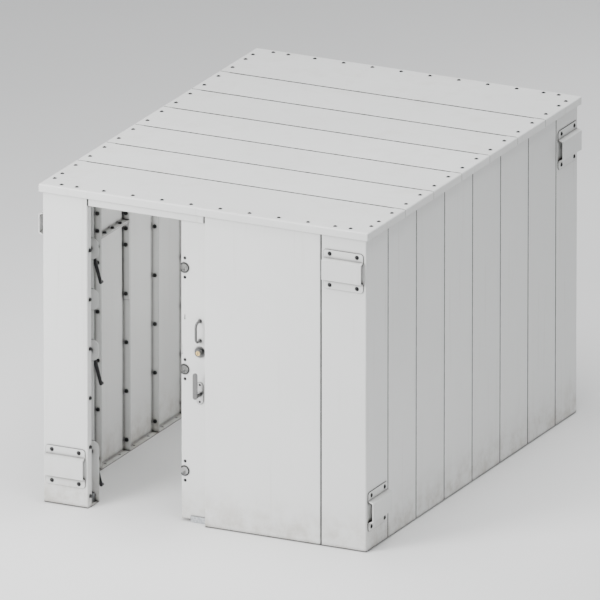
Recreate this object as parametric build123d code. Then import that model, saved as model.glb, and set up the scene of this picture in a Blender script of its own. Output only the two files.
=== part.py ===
"""Walk-in container of bolted sheet-steel pans, with a top-hung sliding door.

Millimetres. +X is to the right of the front, +Y is to the back and +Z is up.
The origin is on the floor, in the middle of the walls' outline.
"""

from build123d import *
import math
import os

# ---------------------------------------------------------------- walls and roof
MODULE = 400.0  # width of one wall or roof panel, seam to seam
CORNER_LEG = 310.0  # each leg of a corner panel, from its outer corner to its seam
DOORWAY_MODULES = 2
COVER_MODULES = 2
SIDE_BAYS = 6
REAR_BAYS = DOORWAY_MODULES + COVER_MODULES
WALL_HEIGHT = 2070.0
SHEET = 5.0
FLANGE = 50.0  # depth of every folded edge, outer face to tip
BEND = 10.0  # outer bend radius
SEAM = 3.0  # gap between neighbouring panels, filled by a seal strip
HEADER_HEIGHT = 100.0
SPLIT_BAY = 2  # left wall bay, counted from the front, made of two panels
SPLIT_DROP = 3.0  # split, below the middle between the fifth and sixth seam bolts
ROOF_OVERHANG = 20.0
ROOF_LIP = 50.0
ROOF_FLAT_END = ROOF_OVERHANG + FLANGE + 5.0  # plain end of a roof panel, over the wall flange
SPLICE_PAST_BOLT = 36.0  # lower end of the splice strips, below the fourth seam bolt
SPLICE_THICKNESS = 5.0
HANGING_HOLE = 20.0  # in a wall panel's top flange, under the roof sheet

# ---------------------------------------------------------------- fasteners
BOLT = 12.0  # shank diameter
BOLT_HOLE = 14.0
HEX_FLATS = 19.0
HEAD_HEIGHT = 7.5
NUT_HEIGHT = 10.0
WASHER = 24.0
WASHER_THICKNESS = 2.5
THREAD_END = 3.0  # shank past the nut
SMALL_SCREW = 8.0
SMALL_DOME = 0.28  # rise of a small screw's head over its diameter
SEAM_BOLT_DEPTH = 28.0  # from the outer face
SEAM_BOLT_COUNT = 7  # up each seam
SEAM_BOLT_END = 75.0  # first and last, from the wall's ends
SPLIT_BOLT_OFFSET = 50.0  # extra seam bolts, above and below the split
SPLIT_BOLT_SPREAD = 107.0
EDGE_BOLT_DEPTH = FLANGE / 2  # roof and floor bolts, from the wall's outer face
CORNER_BOLTS = (120.0, 225.0)  # roof and floor bolts on a corner leg, from the corner
ANCHOR_HOLE = 18.0
ROOF_SEAM_BOLT_PITCH = 320.0
ROOF_SEAM_BOLTS = 6
BUTTON_HEAD = 26.0
BUTTON_HEIGHT = 7.0
SOCKET_FLATS = 8.0
SOCKET_DEPTH = 4.0

# ---------------------------------------------------------------- seal strips
SEAL_FROM = 4.0
SEAL_TO = 20.0
SEAL_END = 2.0  # strip ends short of the floor and of the roof sheet

# ---------------------------------------------------------------- saddle brackets
SADDLE_LENGTH = 268.0
SADDLE_HEIGHT = 250.0
SADDLE_BASE = 150.0
SADDLE_CROWN = 126.0
SADDLE_DEPTH = 38.0
SADDLE_SHEET = 6.0
SADDLE_CORNER = 18.0
SADDLE_BOLT_X = 186.0
SADDLE_BOLT_Z = 202.0
SADDLE_FROM_CORNER = 155.0
SADDLE_UPPER = 267.0  # upper saddle's middle, below the wall's top
SADDLE_LOWER = 255.0
SADDLE_HEAD = 28.0

# ---------------------------------------------------------------- sliding door
DOOR_BEHIND = FLANGE + 7.0  # door's front face, behind the wall's outer face
DOOR_DEPTH = 50.0
DOOR_FLOOR_GAP = 15.0
DOOR_TOP_GAP = 70.0  # from the wall's top
DOOR_OPEN_EDGE = 187.0  # leading edge at rest, left of the cover panel
DOOR_POCKET = 74.0  # leading edge past the doorway's left side when shut
DOOR_TRAIL_OVERLAP = 56.0  # trailing edge behind the cover panel when shut
RUN_CLEARANCE = 0.5
SIDE_GAP = 1.0  # between parts that slide or turn past each other

# ---------------------------------------------------------------- latches
LATCH_LOW = 328.0
LATCH_HIGH = WALL_HEIGHT - 422.0
LATCH_LEVELS = (LATCH_LOW, (LATCH_LOW + LATCH_HIGH) / 2, LATCH_HIGH)
LATCH_FROM_EDGE = 24.0
LATCH_SHAFT = 16.0
LATCH_COLLAR = 24.0
TONGUE_LENGTH = 46.0
TONGUE_WIDTH = 26.0
STRIKE_BORE = 50.0
STRIKE_OUTER = STRIKE_BORE + 16.0
STRIKE_PROUD = 4.0
STRIKE_NECK = 30.0
STRIKE_MOUTH = 46.0
STRIKE_BACKING = 4.0
STRIKE_BACKING_WIDTH = 48.0
STRIKE_BACKING_HEIGHT = 161.0
STRIKE_BOLT_SPREAD = STRIKE_OUTER / 2 + 29.5
STRIKE_BOLT_FROM_EDGE = 27.5
STRIKE_BOLT_HEAD = 20.0
KEYHOLE_LEVEL = (LATCH_LEVELS[1] + LATCH_HIGH) / 2
KEYHOLE_DIAMETER = 12.0
KEYHOLE_STEM = 26.0
LATCH_ARM = 226.0
LATCH_ARM_TILT = 16.0
LATCH_ARM_THICKNESS = 8.0
LATCH_ARM_ROOT = 26.0
LATCH_ARM_TIP = 20.0
LATCH_ARM_GAP = 2.0  # arm to the jamb channel
LATCH_KNOB = 16.0
LATCH_HUB = 36.0
LATCH_HUB_END = 3.0
TONGUE_SHORT = 7.0  # tongue's end, short of the shut door's back

# ---------------------------------------------------------------- jamb
JAMB_SHEET = 5.0
JAMB_CLEARANCE = 6.0  # shut door to the channel's web
JAMB_DEPTH = DOOR_BEHIND + DOOR_DEPTH + 43.0  # channel's back, from the wall's outer face
JAMB_BACK_FLANGE = 52.0
JAMB_FRONT_FLANGE = 40.0
JAMB_ANCHOR = (40.0, 30.0)  # from the web, and from the wall flange's tip
STRIKE_GAP = 4.0  # deadbolt to its opening in the web
PLATE_WIDTH = 84.0
PLATE_HEIGHT = 134.0
PLATE_THICKNESS = 5.0
GUIDE_BLOCK = (27.0, 52.0)  # along X, and high

# ---------------------------------------------------------------- door track and trolleys
TRACK_WIDTH = 50.0
TRACK_HEIGHT = 45.0
TRACK_SHEET = 3.0
TRACK_SLOT = 14.0
TRACK_LEFT = 30.0  # past the doorway's left side
TRACK_STOP = 20.0
HANGER_THICKNESS = 5.0
HANGER_GAP = 2.0  # hanger to the wall panel's skin
HANGER_WIDTH = 60.0
TROLLEY_FROM_END = 150.0
WHEEL = 32.0
WHEEL_LIFT = 0.3  # wheel to the track's floor
WHEEL_WIDTH = 10.0
WHEEL_HOLE = 4.0
WHEEL_HOLES = 5
WHEEL_HOLE_CIRCLE = 20.0
WHEEL_OFFSET = 13.0  # middle of a wheel from the track's middle
AXLE = 8.0
AXLE_LENGTH = 40.0
AXLE_PLAY = 0.3
TROLLEY_PLATE = 6.0
TROLLEY_LENGTH = 90.0
TROLLEY_HEAD = 32.0  # width of the part of the bracket inside the track
TROLLEY_STEP = 3.0  # bracket's shoulder over the track's floor, and its top under the wheel's
TROLLEY_FOOT = 22.0  # foot's edge, behind the track's middle
TROLLEY_SCREW = 12.0  # foot's screws, behind the track's middle
TROLLEY_SCREW_HEAD = 16.0

# ---------------------------------------------------------------- door furniture
FURNITURE_FROM_EDGE = 131.0
PULL_LOW = 1187.0
PULL_SPAN = 128.0
PULL_BAR = 16.0
PULL_STANDOFF = 67.0
PULL_FOOT = 24.0
PULL_FOOT_HEIGHT = 4.0
LOCK_LEVEL = 1114.0
ROSE = 68.0
ROSE_THICKNESS = 6.0
COLLAR = 52.0
COLLAR_END = 40.0
COLLAR_HEIGHT = 34.0
PLUG = 30.0
PLUG_RECESS = 2.0
KEY_SLOT = (3.0, 18.0, 19.0)  # wide, high and deep
THUMBTURN_DISC = 5.0
THUMBTURN_BLADE = (10.0, 22.0, 42.0)  # wide, deep and high
THUMBTURN_EDGE = 3.0
DEADBOLT_HEIGHT = 25.0
DEADBOLT_THICKNESS = 14.0
DEADBOLT_LENGTH = 62.0
DEADBOLT_CHAMFER = 1.5
DEADBOLT_BACK = 6.0  # room behind the drawn-back bolt
EDGE_NOTCH_WIDTH = 12.0
EDGE_NOTCH_HEIGHT = 60.0
CASE_DEPTH = DOOR_DEPTH - 2 * SHEET
CASE_HEIGHT = 90.0
CASE_END = 165.0
LEVER_CASE = (60.0, 60.0, 72.0)  # wide, below the spindle and above it
ESCUTCHEON_LEVEL = 847.0
ESCUTCHEON_WIDTH = 44.0
ESCUTCHEON_HEIGHT = 141.0
ESCUTCHEON_THICKNESS = 5.0
ESCUTCHEON_SCREWS = 55.0
ESCUTCHEON_SCREW_HEAD = 15.0
LEVER_LEVEL = 841.0
LEVER_LENGTH = 171.0
LEVER_WIDTH = 30.0
LEVER_THICKNESS = 9.0
LEVER_STANDOFF = 66.0
LEVER_INSIDE = 24.0  # inside lever, from the case
LEVER_BOSS = 28.0
SPINDLE = 14.0

# ---------------------------------------------------------------- floor guide
GUIDE_LENGTH_LEFT = 119.0
GUIDE_LENGTH_RIGHT = 20.0
GUIDE_UPSTAND = 40.0
GUIDE_SHEET = 4.0
GUIDE_GAP = 2.0
GUIDE_BOLT_FROM_END = 30.0

# ---------------------------------------------------------------- worked-out places
HALF_WIDTH = CORNER_LEG + REAR_BAYS * MODULE / 2
HALF_LENGTH = CORNER_LEG + SIDE_BAYS * MODULE / 2
FRONT = -HALF_LENGTH
ROOF_TOP = WALL_HEIGHT + SHEET
COVER_LEFT = HALF_WIDTH - CORNER_LEG - COVER_MODULES * MODULE
DOORWAY_LEFT = COVER_LEFT - DOORWAY_MODULES * MODULE
COVER_RIGHT = HALF_WIDTH - CORNER_LEG
BOLT_PITCH = MODULE / 2
SEAM_GRIP = 2 * SHEET + SEAM
SEAM_BOLT_STEP = (WALL_HEIGHT - 2 * SEAM_BOLT_END) / (SEAM_BOLT_COUNT - 1)
SEAM_LEVELS = [SEAM_BOLT_END + SEAM_BOLT_STEP * i for i in range(SEAM_BOLT_COUNT)]
SPLIT_LEVEL = (SEAM_LEVELS[4] + SEAM_LEVELS[5]) / 2 - SPLIT_DROP
SPLICE_START = SEAM_LEVELS[3] - SPLICE_PAST_BOLT

DOOR_FACE = FRONT + DOOR_BEHIND
DOOR_BACK = DOOR_FACE + DOOR_DEPTH
DOOR_MID = DOOR_FACE + DOOR_DEPTH / 2
DOOR_BOTTOM = DOOR_FLOOR_GAP
DOOR_TOP = WALL_HEIGHT - DOOR_TOP_GAP
DOOR_SHUT_EDGE = DOORWAY_LEFT - DOOR_POCKET
DOOR_EDGE = COVER_LEFT - DOOR_OPEN_EDGE
DOOR_WIDTH = COVER_LEFT + DOOR_TRAIL_OVERLAP - DOOR_SHUT_EDGE
FURNITURE_X = DOOR_EDGE + FURNITURE_FROM_EDGE

JAMB_WEB = DOOR_SHUT_EDGE - JAMB_CLEARANCE
JAMB_LEFT = JAMB_WEB - JAMB_SHEET
JAMB_RIGHT = JAMB_WEB + JAMB_FRONT_FLANGE
JAMB_BACK = FRONT + JAMB_DEPTH
LATCH_X = DOOR_SHUT_EDGE + LATCH_FROM_EDGE

TRACK_TOP = WALL_HEIGHT - SHEET - HANGER_THICKNESS
TRACK_BOTTOM = TRACK_TOP - TRACK_HEIGHT
TRACK_MID = DOOR_MID
AXLE_LEVEL = TRACK_BOTTOM + TRACK_SHEET + WHEEL_LIFT + WHEEL / 2

LOW = Align.MIN
MID = Align.CENTER
HIGH = Align.MAX


# ================================================================ small helpers
def block(x0, x1, y0, y1, z0, z1):
    """Box between two opposite corners."""
    return Pos(x0, y0, z0) * Box(x1 - x0, y1 - y0, z1 - z0, align=(LOW, LOW, LOW))


def rod_x(diameter, x0, x1, y, z):
    """Round bar along X."""
    bar = Cylinder(diameter / 2, x1 - x0, align=(MID, MID, LOW))
    return Pos(x0, y, z) * Rot(0, 90, 0) * bar


def rod_y(diameter, y0, y1, x, z):
    """Round bar along Y."""
    bar = Cylinder(diameter / 2, y1 - y0, align=(MID, MID, LOW))
    return Pos(x, y0, z) * Rot(-90, 0, 0) * bar


def rod_z(diameter, z0, z1, x, y):
    """Round bar along Z."""
    return Pos(x, y, z0) * Cylinder(diameter / 2, z1 - z0, align=(MID, MID, LOW))


def obround_y(width, height, y0, y1, x, z):
    """Plate with round ends, standing up in X and Z, between two depths."""
    outline = Rot(90, 0, 0) * SlotOverall(height, width, rotation=90)
    return Pos(x, y1, z) * extrude(outline, y1 - y0, dir=(0, -1, 0))


def edges_on(shape, axis, value):
    """Edges of a shape that lie wholly in one plane."""
    def inside(edge):
        box = edge.bounding_box()
        low, high = getattr(box.min, axis), getattr(box.max, axis)
        return abs(low - value) < 1e-4 and abs(high - value) < 1e-4

    return [edge for edge in shape.edges() if inside(edge)]


def wall(side):
    """Frame of a wall: X to the right as seen from outside, Y inwards, Z up."""
    corner_turn = {"front": 0, "right": 90, "rear": 180, "left": 270}[side]
    reach = HALF_LENGTH if side in ("front", "rear") else HALF_WIDTH
    return Rot(0, 0, corner_turn) * Pos(0, -reach, 0)


def bays(side):
    """Middle of each panel bay along a wall, in the wall's own frame, left to right."""
    count = SIDE_BAYS if side in ("right", "left") else REAR_BAYS
    return [(i - (count - 1) / 2) * MODULE for i in range(count)]


def seams(side):
    """Place of each seam along a wall, in the wall's own frame."""
    middles = bays(side)
    return [middles[0] - MODULE / 2] + [middle + MODULE / 2 for middle in middles]


def edge_bolts(width):
    """Roof or floor bolts across a panel, from its middle."""
    count = round(width / BOLT_PITCH)
    return [(i - (count - 1) / 2) * BOLT_PITCH for i in range(count)]


# ================================================================ wall and roof sheet work
def pan(width, height, depth=FLANGE):
    """Sheet pan on z = 0: face at y = 0, four edges folded back along +Y."""
    outer = Box(width, depth, height, align=(MID, LOW, LOW))
    outer = fillet(edges_on(outer, "Y", 0), BEND)
    hollow = Box(width - 2 * SHEET, depth, height - 2 * SHEET, align=(MID, LOW, LOW))
    hollow = fillet(edges_on(hollow, "Y", 0), BEND - SHEET)
    return outer - Pos(0, SHEET, SHEET) * hollow


def seam_holes(width, levels, left=True, right=True):
    """Bolt holes through a pan's side flanges."""
    half = width / 2
    cuts = []
    for level in levels:
        if left:
            cuts.append(rod_x(BOLT_HOLE, -half - 1, -half + 2 * SHEET, SEAM_BOLT_DEPTH, level))
        if right:
            cuts.append(rod_x(BOLT_HOLE, half - 2 * SHEET, half + 1, SEAM_BOLT_DEPTH, level))
    return cuts


def edge_holes(width, height, top=True, bottom=True):
    """Roof bolt holes in a pan's top flange and anchor holes in its bottom flange."""
    cuts = []
    for x in edge_bolts(width + SEAM):
        if top:
            cuts.append(rod_z(BOLT_HOLE, height - 2 * SHEET, height + 1, x, EDGE_BOLT_DEPTH))
        if bottom:
            cuts.append(rod_z(ANCHOR_HOLE, -1, 2 * SHEET, x, EDGE_BOLT_DEPTH))
    return cuts


def hanging_hole(height):
    """Hole in the middle of a pan's top flange, by which it hangs when it is painted."""
    return rod_z(HANGING_HOLE, height - 2 * SHEET, height + 1, 0, EDGE_BOLT_DEPTH)


def wall_panel():
    """Full-height panel of one module."""
    width = MODULE - SEAM
    cuts = seam_holes(width, SEAM_LEVELS) + edge_holes(width, WALL_HEIGHT)
    return pan(width, WALL_HEIGHT) - cuts - hanging_hole(WALL_HEIGHT)


def split_levels():
    """Extra seam bolts beside the split of the divided bay."""
    return [SPLIT_LEVEL - SPLIT_BOLT_OFFSET, SPLIT_LEVEL + SPLIT_BOLT_OFFSET]


def split_holes(z):
    """Bolt holes through a horizontal flange at the split."""
    return [
        rod_z(BOLT_HOLE, z - 2 * SHEET, z + 2 * SHEET, x, SEAM_BOLT_DEPTH)
        for x in (-SPLIT_BOLT_SPREAD, 0, SPLIT_BOLT_SPREAD)
    ]


def split_panel_low():
    """Lower panel of the divided bay."""
    width = MODULE - SEAM
    height = SPLIT_LEVEL - SEAM / 2
    levels = [z for z in SEAM_LEVELS if z < SPLIT_LEVEL] + split_levels()[:1]
    cuts = seam_holes(width, levels) + edge_holes(width, height, top=False)
    return pan(width, height) - cuts - split_holes(height)


def split_panel_high():
    """Upper panel of the divided bay, standing on z = 0."""
    width = MODULE - SEAM
    base = SPLIT_LEVEL + SEAM / 2
    height = WALL_HEIGHT - base
    levels = [z for z in SEAM_LEVELS if z > SPLIT_LEVEL] + split_levels()[1:]
    cuts = seam_holes(width, [z - base for z in levels])
    cuts += edge_holes(width, height, bottom=False)
    return pan(width, height) - cuts - split_holes(0) - hanging_hole(height)


def cover_panel():
    """Wide front panel that the open door stands behind."""
    width = COVER_MODULES * MODULE - SEAM
    cuts = seam_holes(width, SEAM_LEVELS, left=False)
    cuts += seam_holes(width, SEAM_LEVELS[-1:], right=False)
    cuts.append(hanging_hole(WALL_HEIGHT))
    return pan(width, WALL_HEIGHT) - cuts - edge_holes(width, WALL_HEIGHT)


def header_panel():
    """Panel over the doorway, standing on z = 0."""
    width = DOORWAY_MODULES * MODULE - SEAM
    level = SEAM_LEVELS[-1] - (WALL_HEIGHT - HEADER_HEIGHT)
    cuts = seam_holes(width, [level])
    return pan(width, HEADER_HEIGHT) - cuts - edge_holes(width, HEADER_HEIGHT, bottom=False)


def rounded_corner(leg, height, radius):
    """Block along -X and +Y from the origin, rounded at the edges of its two outer faces."""
    shape = Box(leg, leg, height, align=(HIGH, LOW, LOW))
    upright = [
        edge
        for edge in shape.edges().filter_by(Axis.Z)
        if edge.center().X > -1 or edge.center().Y < 1
    ]
    level = [
        edge
        for edge in edges_on(shape, "Y", 0) + edges_on(shape, "X", 0)
        if edge.bounding_box().size.Z < 1
    ]
    return fillet(upright + level, radius)


def corner_panel():
    """Corner panel with its outer corner at the origin and its legs along -X and +Y."""
    leg = CORNER_LEG - SEAM / 2
    outer = rounded_corner(leg, WALL_HEIGHT, BEND)
    hollow = rounded_corner(leg - 2 * SHEET, WALL_HEIGHT - 2 * SHEET, BEND - SHEET)
    hollow = Pos(-SHEET, SHEET, SHEET) * hollow
    open_side = block(-leg - 1, -FLANGE, FLANGE, leg + 1, -1, WALL_HEIGHT + 1)
    cuts = [hollow, open_side]
    for z in SEAM_LEVELS:
        cuts.append(rod_x(BOLT_HOLE, -leg - 1, -leg + 2 * SHEET, SEAM_BOLT_DEPTH, z))
        cuts.append(rod_y(BOLT_HOLE, leg - 2 * SHEET, leg + 1, -SEAM_BOLT_DEPTH, z))
    for reach in CORNER_BOLTS:
        for x, y in ((-reach, EDGE_BOLT_DEPTH), (-EDGE_BOLT_DEPTH, reach)):
            cuts.append(rod_z(BOLT_HOLE, WALL_HEIGHT - 2 * SHEET, WALL_HEIGHT + 1, x, y))
            cuts.append(rod_z(ANCHOR_HOLE, -1, 2 * SHEET, x, y))
    for x, z in saddle_bolts():
        upper = -SADDLE_FROM_CORNER + x, WALL_HEIGHT - SADDLE_UPPER + z
        lower = SADDLE_FROM_CORNER + x, SADDLE_LOWER + z
        cuts.append(rod_y(BOLT_HOLE, -1, 2 * SHEET, *upper))
        cuts.append(rod_x(BOLT_HOLE, -2 * SHEET, 1, *lower))
    return outer - cuts


CORNERS = {
    "front_right": Pos(HALF_WIDTH, -HALF_LENGTH, 0),
    "rear_right": Pos(HALF_WIDTH, HALF_LENGTH, 0) * Rot(0, 0, 90),
    "rear_left": Pos(-HALF_WIDTH, HALF_LENGTH, 0) * Rot(0, 0, 180),
    "front_left": Pos(-HALF_WIDTH, -HALF_LENGTH, 0) * Rot(0, 0, 270),
}


def roof_width():
    """Roof over its lips, across X."""
    return 2 * (HALF_WIDTH + ROOF_OVERHANG)


def roof_fold(width):
    """Bend and flange hanging from a seam at y = 0, with its sheet on the +Y side."""
    ring = Circle(BEND) - Circle(BEND - SHEET)
    quarter = ring & (Pos(-BEND / 2, BEND / 2) * Rectangle(BEND, BEND))
    strip = Pos(-BEND + SHEET / 2, -(ROOF_LIP - BEND) / 2) * Rectangle(SHEET, ROOF_LIP - BEND)
    profile = Pos(BEND, -BEND) * (quarter + strip)
    fold = extrude(Plane.YZ * profile, width / 2, both=True)
    return Pos(0, 0, ROOF_TOP) * fold


def roof_seam_holes(y):
    """Bolt holes through the flanges that hang at a roof seam."""
    level = ROOF_TOP - SEAM_BOLT_DEPTH
    return [rod_y(BOLT_HOLE, y - 2 * SHEET, y + 2 * SHEET, x, level) for x in roof_seam_bolts()]


def roof_seam_bolts():
    """Places of the bolts along a roof seam."""
    first = -(ROOF_SEAM_BOLTS - 1) / 2 * ROOF_SEAM_BOLT_PITCH
    return [first + i * ROOF_SEAM_BOLT_PITCH for i in range(ROOF_SEAM_BOLTS)]


def rounded_lid(half, y0, y1, z0, z1, radius, front_lip, rear_lip):
    """Block rounded at its top edges over the lips, and at the corners between two lips."""
    shape = block(-half, half, y0, y1, z0, z1)
    lips = [("X", -half), ("X", half)]
    lips += [("Y", y0)] if front_lip else []
    lips += [("Y", y1)] if rear_lip else []
    chosen = []
    for axis, value in lips:
        chosen += [edge for edge in edges_on(shape, axis, value) if edge.center().Z > z1 - 1]
    for edge in shape.edges().filter_by(Axis.Z):
        at_front = front_lip and edge.center().Y < y0 + 1
        at_rear = rear_lip and edge.center().Y > y1 - 1
        if at_front or at_rear:
            chosen.append(edge)
    return fillet(chosen, radius)


def roof_tray(y0, y1, front_lip, rear_lip):
    """Flat sheet between two depths, with lips down at its ends and maybe front or rear."""
    half = roof_width() / 2
    low = ROOF_TOP - ROOF_LIP
    outer = rounded_lid(half, y0, y1, low, ROOF_TOP, BEND, front_lip, rear_lip)
    inner_y0 = y0 + SHEET if front_lip else y0 - 1
    inner_y1 = y1 - SHEET if rear_lip else y1 + 1
    hollow = rounded_lid(
        half - SHEET,
        inner_y0,
        inner_y1,
        low - 1,
        ROOF_TOP - SHEET,
        BEND - SHEET,
        front_lip,
        rear_lip,
    )
    return outer - hollow


def roof_panel(y0, y1, front_lip=False, rear_lip=False):
    """Roof panel between two seams or an edge and a seam."""
    tray = roof_tray(y0, y1, front_lip, rear_lip)
    span = roof_width() - 2 * ROOF_FLAT_END
    sheet_top = ROOF_TOP + 1
    if not front_lip:
        strip = block(-span / 2, span / 2, y0 - 1, y0 + BEND, ROOF_TOP - 2 * SHEET, sheet_top)
        tray = tray - strip + Pos(0, y0, 0) * roof_fold(span) - roof_seam_holes(y0)
    if not rear_lip:
        strip = block(-span / 2, span / 2, y1 - BEND, y1 + 1, ROOF_TOP - 2 * SHEET, sheet_top)
        fold = Pos(0, y1, 0) * Rot(0, 0, 180) * roof_fold(span)
        tray = tray - strip + fold - roof_seam_holes(y1)
    holes = [
        rod_z(BOLT_HOLE, WALL_HEIGHT - 1, ROOF_TOP + 1, x, y)
        for x, y in roof_bolt_places()
        if y0 < y < y1
    ]
    return tray - holes


def roof_bolt_places():
    """Every bolt that holds the roof to the walls' top flanges."""
    half_x = HALF_WIDTH - EDGE_BOLT_DEPTH
    half_y = HALF_LENGTH - EDGE_BOLT_DEPTH
    across = edge_bolts(REAR_BAYS * MODULE)
    across += [s * (HALF_WIDTH - reach) for s in (-1, 1) for reach in CORNER_BOLTS]
    along = edge_bolts(SIDE_BAYS * MODULE)
    along += [s * (HALF_LENGTH - reach) for s in (-1, 1) for reach in CORNER_BOLTS]
    places = [(x, s * half_y) for x in across for s in (-1, 1)]
    places += [(s * half_x, y) for y in along for s in (-1, 1)]
    return places


def roof_seams():
    """Depth of each roof seam."""
    return [(i - (SIDE_BAYS - 1) / 2) * MODULE for i in range(SIDE_BAYS)]


# ================================================================ fasteners
def hexagon(flats, height):
    """Hexagonal prism on z = 0."""
    return extrude(RegularPolygon(flats / math.sqrt(3), 6), height)


def hex_bolt(grip):
    """Bolt along +X with its washer: the clamped faces are at x = 0 and x = grip."""
    head = Pos(0, 0, WASHER_THICKNESS) * hexagon(HEX_FLATS, HEAD_HEIGHT)
    head += Cylinder(WASHER / 2, WASHER_THICKNESS, align=(MID, MID, LOW))
    shank = grip + NUT_HEIGHT + THREAD_END
    head += Pos(0, 0, -shank) * Cylinder(BOLT / 2, shank, align=(MID, MID, LOW))
    return Rot(0, -90, 0) * head


def hex_nut():
    """Nut along +X from x = 0."""
    nut = hexagon(HEX_FLATS, NUT_HEIGHT) - Cylinder(BOLT / 2, NUT_HEIGHT, align=(MID, MID, LOW))
    return Rot(0, 90, 0) * nut


def button_bolt(head, grip):
    """Domed bolt standing on z = 0 with its shank down through the grip."""
    rise = BUTTON_HEIGHT
    radius = ((head / 2) ** 2 + rise**2) / (2 * rise)
    dome = Pos(0, 0, rise - radius) * Sphere(radius)
    dome = dome & Cylinder(head / 2, rise, align=(MID, MID, LOW))
    socket = Pos(0, 0, rise - SOCKET_DEPTH) * hexagon(SOCKET_FLATS, SOCKET_DEPTH + 1)
    shank = grip + NUT_HEIGHT + THREAD_END
    return dome - socket + Pos(0, 0, -shank) * Cylinder(BOLT / 2, shank, align=(MID, MID, LOW))


def seam_fasteners():
    """Bolts and nuts through every wall and roof seam."""
    bolts, nuts = [], []
    standard, nut = hex_bolt(SEAM_GRIP), hex_nut()
    spliced = hex_bolt(SEAM_GRIP + SPLICE_THICKNESS)
    single = hex_bolt(SHEET)

    def add(place, bolt, grip):
        bolts.append(place * bolt)
        nuts.append(place * Pos(grip, 0, 0) * nut)

    for side in ("right", "rear", "left"):
        flip = -1 if side == "left" else 1
        turn = Rot(0, 0, 180) if side == "left" else Rot(0, 0, 0)
        for number, x in enumerate(seams(side)):
            levels = list(SEAM_LEVELS)
            beside_split = side == "left" and number in split_seams()
            levels += split_levels() if beside_split else []
            for z in levels:
                strip = side == "left" and number == split_seams()[0] and z > SPLICE_START
                back = SPLICE_THICKNESS if strip else 0
                start = x - flip * (SEAM_GRIP / 2 + back)
                place = wall(side) * Pos(start, SEAM_BOLT_DEPTH, z) * turn
                add(place, spliced if strip else standard, SEAM_GRIP + back)
    for z in SEAM_LEVELS:
        place = Pos(COVER_RIGHT - SEAM_GRIP / 2, FRONT + SEAM_BOLT_DEPTH, z)
        add(place, standard, SEAM_GRIP)
    for x in (DOORWAY_LEFT, COVER_LEFT):
        place = Pos(x - SEAM_GRIP / 2, FRONT + SEAM_BOLT_DEPTH, SEAM_LEVELS[-1])
        add(place, standard, SEAM_GRIP)
    for z in SEAM_LEVELS[:-1]:
        start = DOORWAY_LEFT - SEAM / 2
        place = Pos(start, FRONT + SEAM_BOLT_DEPTH, z) * Rot(0, 0, 180)
        add(place, single, SHEET)
    middle = bays("left")[SIDE_BAYS - SPLIT_BAY]
    for x in (-SPLIT_BOLT_SPREAD, 0, SPLIT_BOLT_SPREAD):
        place = Pos(middle + x, SEAM_BOLT_DEPTH, SPLIT_LEVEL + SEAM_GRIP / 2)
        add(wall("left") * place * Rot(0, 90, 0), standard, SEAM_GRIP)
    for y in roof_seams():
        for x in roof_seam_bolts():
            place = Pos(x, y - SEAM_GRIP / 2, ROOF_TOP - SEAM_BOLT_DEPTH) * Rot(0, 0, 90)
            add(place, standard, SEAM_GRIP)
    return bolts, nuts


def split_seams():
    """Numbers of the seams on the two sides of the split bay, in the left wall's frame."""
    return SIDE_BAYS - SPLIT_BAY, SIDE_BAYS - SPLIT_BAY + 1


def hanger_places():
    """Front roof bolts that also hold the door track's hangers."""
    across = [x for x in edge_bolts(REAR_BAYS * MODULE) if x > DOORWAY_LEFT]
    return across[::2]


def roof_fasteners():
    """Bolts and nuts that hold the roof down."""
    bolts, nuts = [], []
    grip = 2 * SHEET
    plain = button_bolt(BUTTON_HEAD, grip)
    long = button_bolt(BUTTON_HEAD, grip + HANGER_THICKNESS)
    nut = Rot(0, 90, 0) * hex_nut()
    held = hanger_places()
    for x, y in roof_bolt_places():
        hangs = y < FRONT + FLANGE and any(abs(x - place) < 1 for place in held)
        reach = grip + HANGER_THICKNESS if hangs else grip
        bolts.append(Pos(x, y, ROOF_TOP) * (long if hangs else plain))
        nuts.append(Pos(x, y, ROOF_TOP - reach) * nut)
    return bolts, nuts


# ================================================================ saddle brackets
def saddle_bolts():
    """Bolts of one saddle bracket about its middle."""
    return [
        (x, z)
        for x in (-SADDLE_BOLT_X / 2, SADDLE_BOLT_X / 2)
        for z in (-SADDLE_BOLT_Z / 2, SADDLE_BOLT_Z / 2)
    ]


def saddle():
    """Hat-section bracket on the plane y = 0, standing out along -Y, open at both ends."""
    rise, sheet = SADDLE_DEPTH, SADDLE_SHEET
    base, crown, half = SADDLE_BASE / 2, SADDLE_CROWN / 2, SADDLE_HEIGHT / 2
    slant = (base - crown) / rise
    outer = [(0, -half), (-sheet, -half), (-sheet, -base + slant * sheet)]
    outer += [(-rise, -crown), (-rise, crown)]
    outer += [(-sheet, base - slant * sheet), (-sheet, half), (0, half)]
    inner = [(0, base - sheet), (-rise + sheet, crown - sheet)]
    inner += [(-rise + sheet, -crown + sheet), (0, -base + sheet)]
    outline = Plane.YZ * make_face(Polyline(*outer, *inner, close=True))
    hat = extrude(outline, SADDLE_LENGTH / 2, both=True)
    ends = [e for e in hat.edges().filter_by(Axis.Y) if abs(abs(e.center().Z) - half) < 1]
    hat = fillet(ends, SADDLE_CORNER)
    return hat - [rod_y(BOLT_HOLE, -sheet - 1, 1, x, z) for x, z in saddle_bolts()]


def saddle_places(upper):
    """Frames of the four upper or the four lower saddle brackets."""
    if upper:
        local = Pos(-SADDLE_FROM_CORNER, 0, WALL_HEIGHT - SADDLE_UPPER)
    else:
        local = Pos(0, SADDLE_FROM_CORNER, SADDLE_LOWER) * Rot(0, 0, 90)
    return [corner * local for corner in CORNERS.values()]


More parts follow.
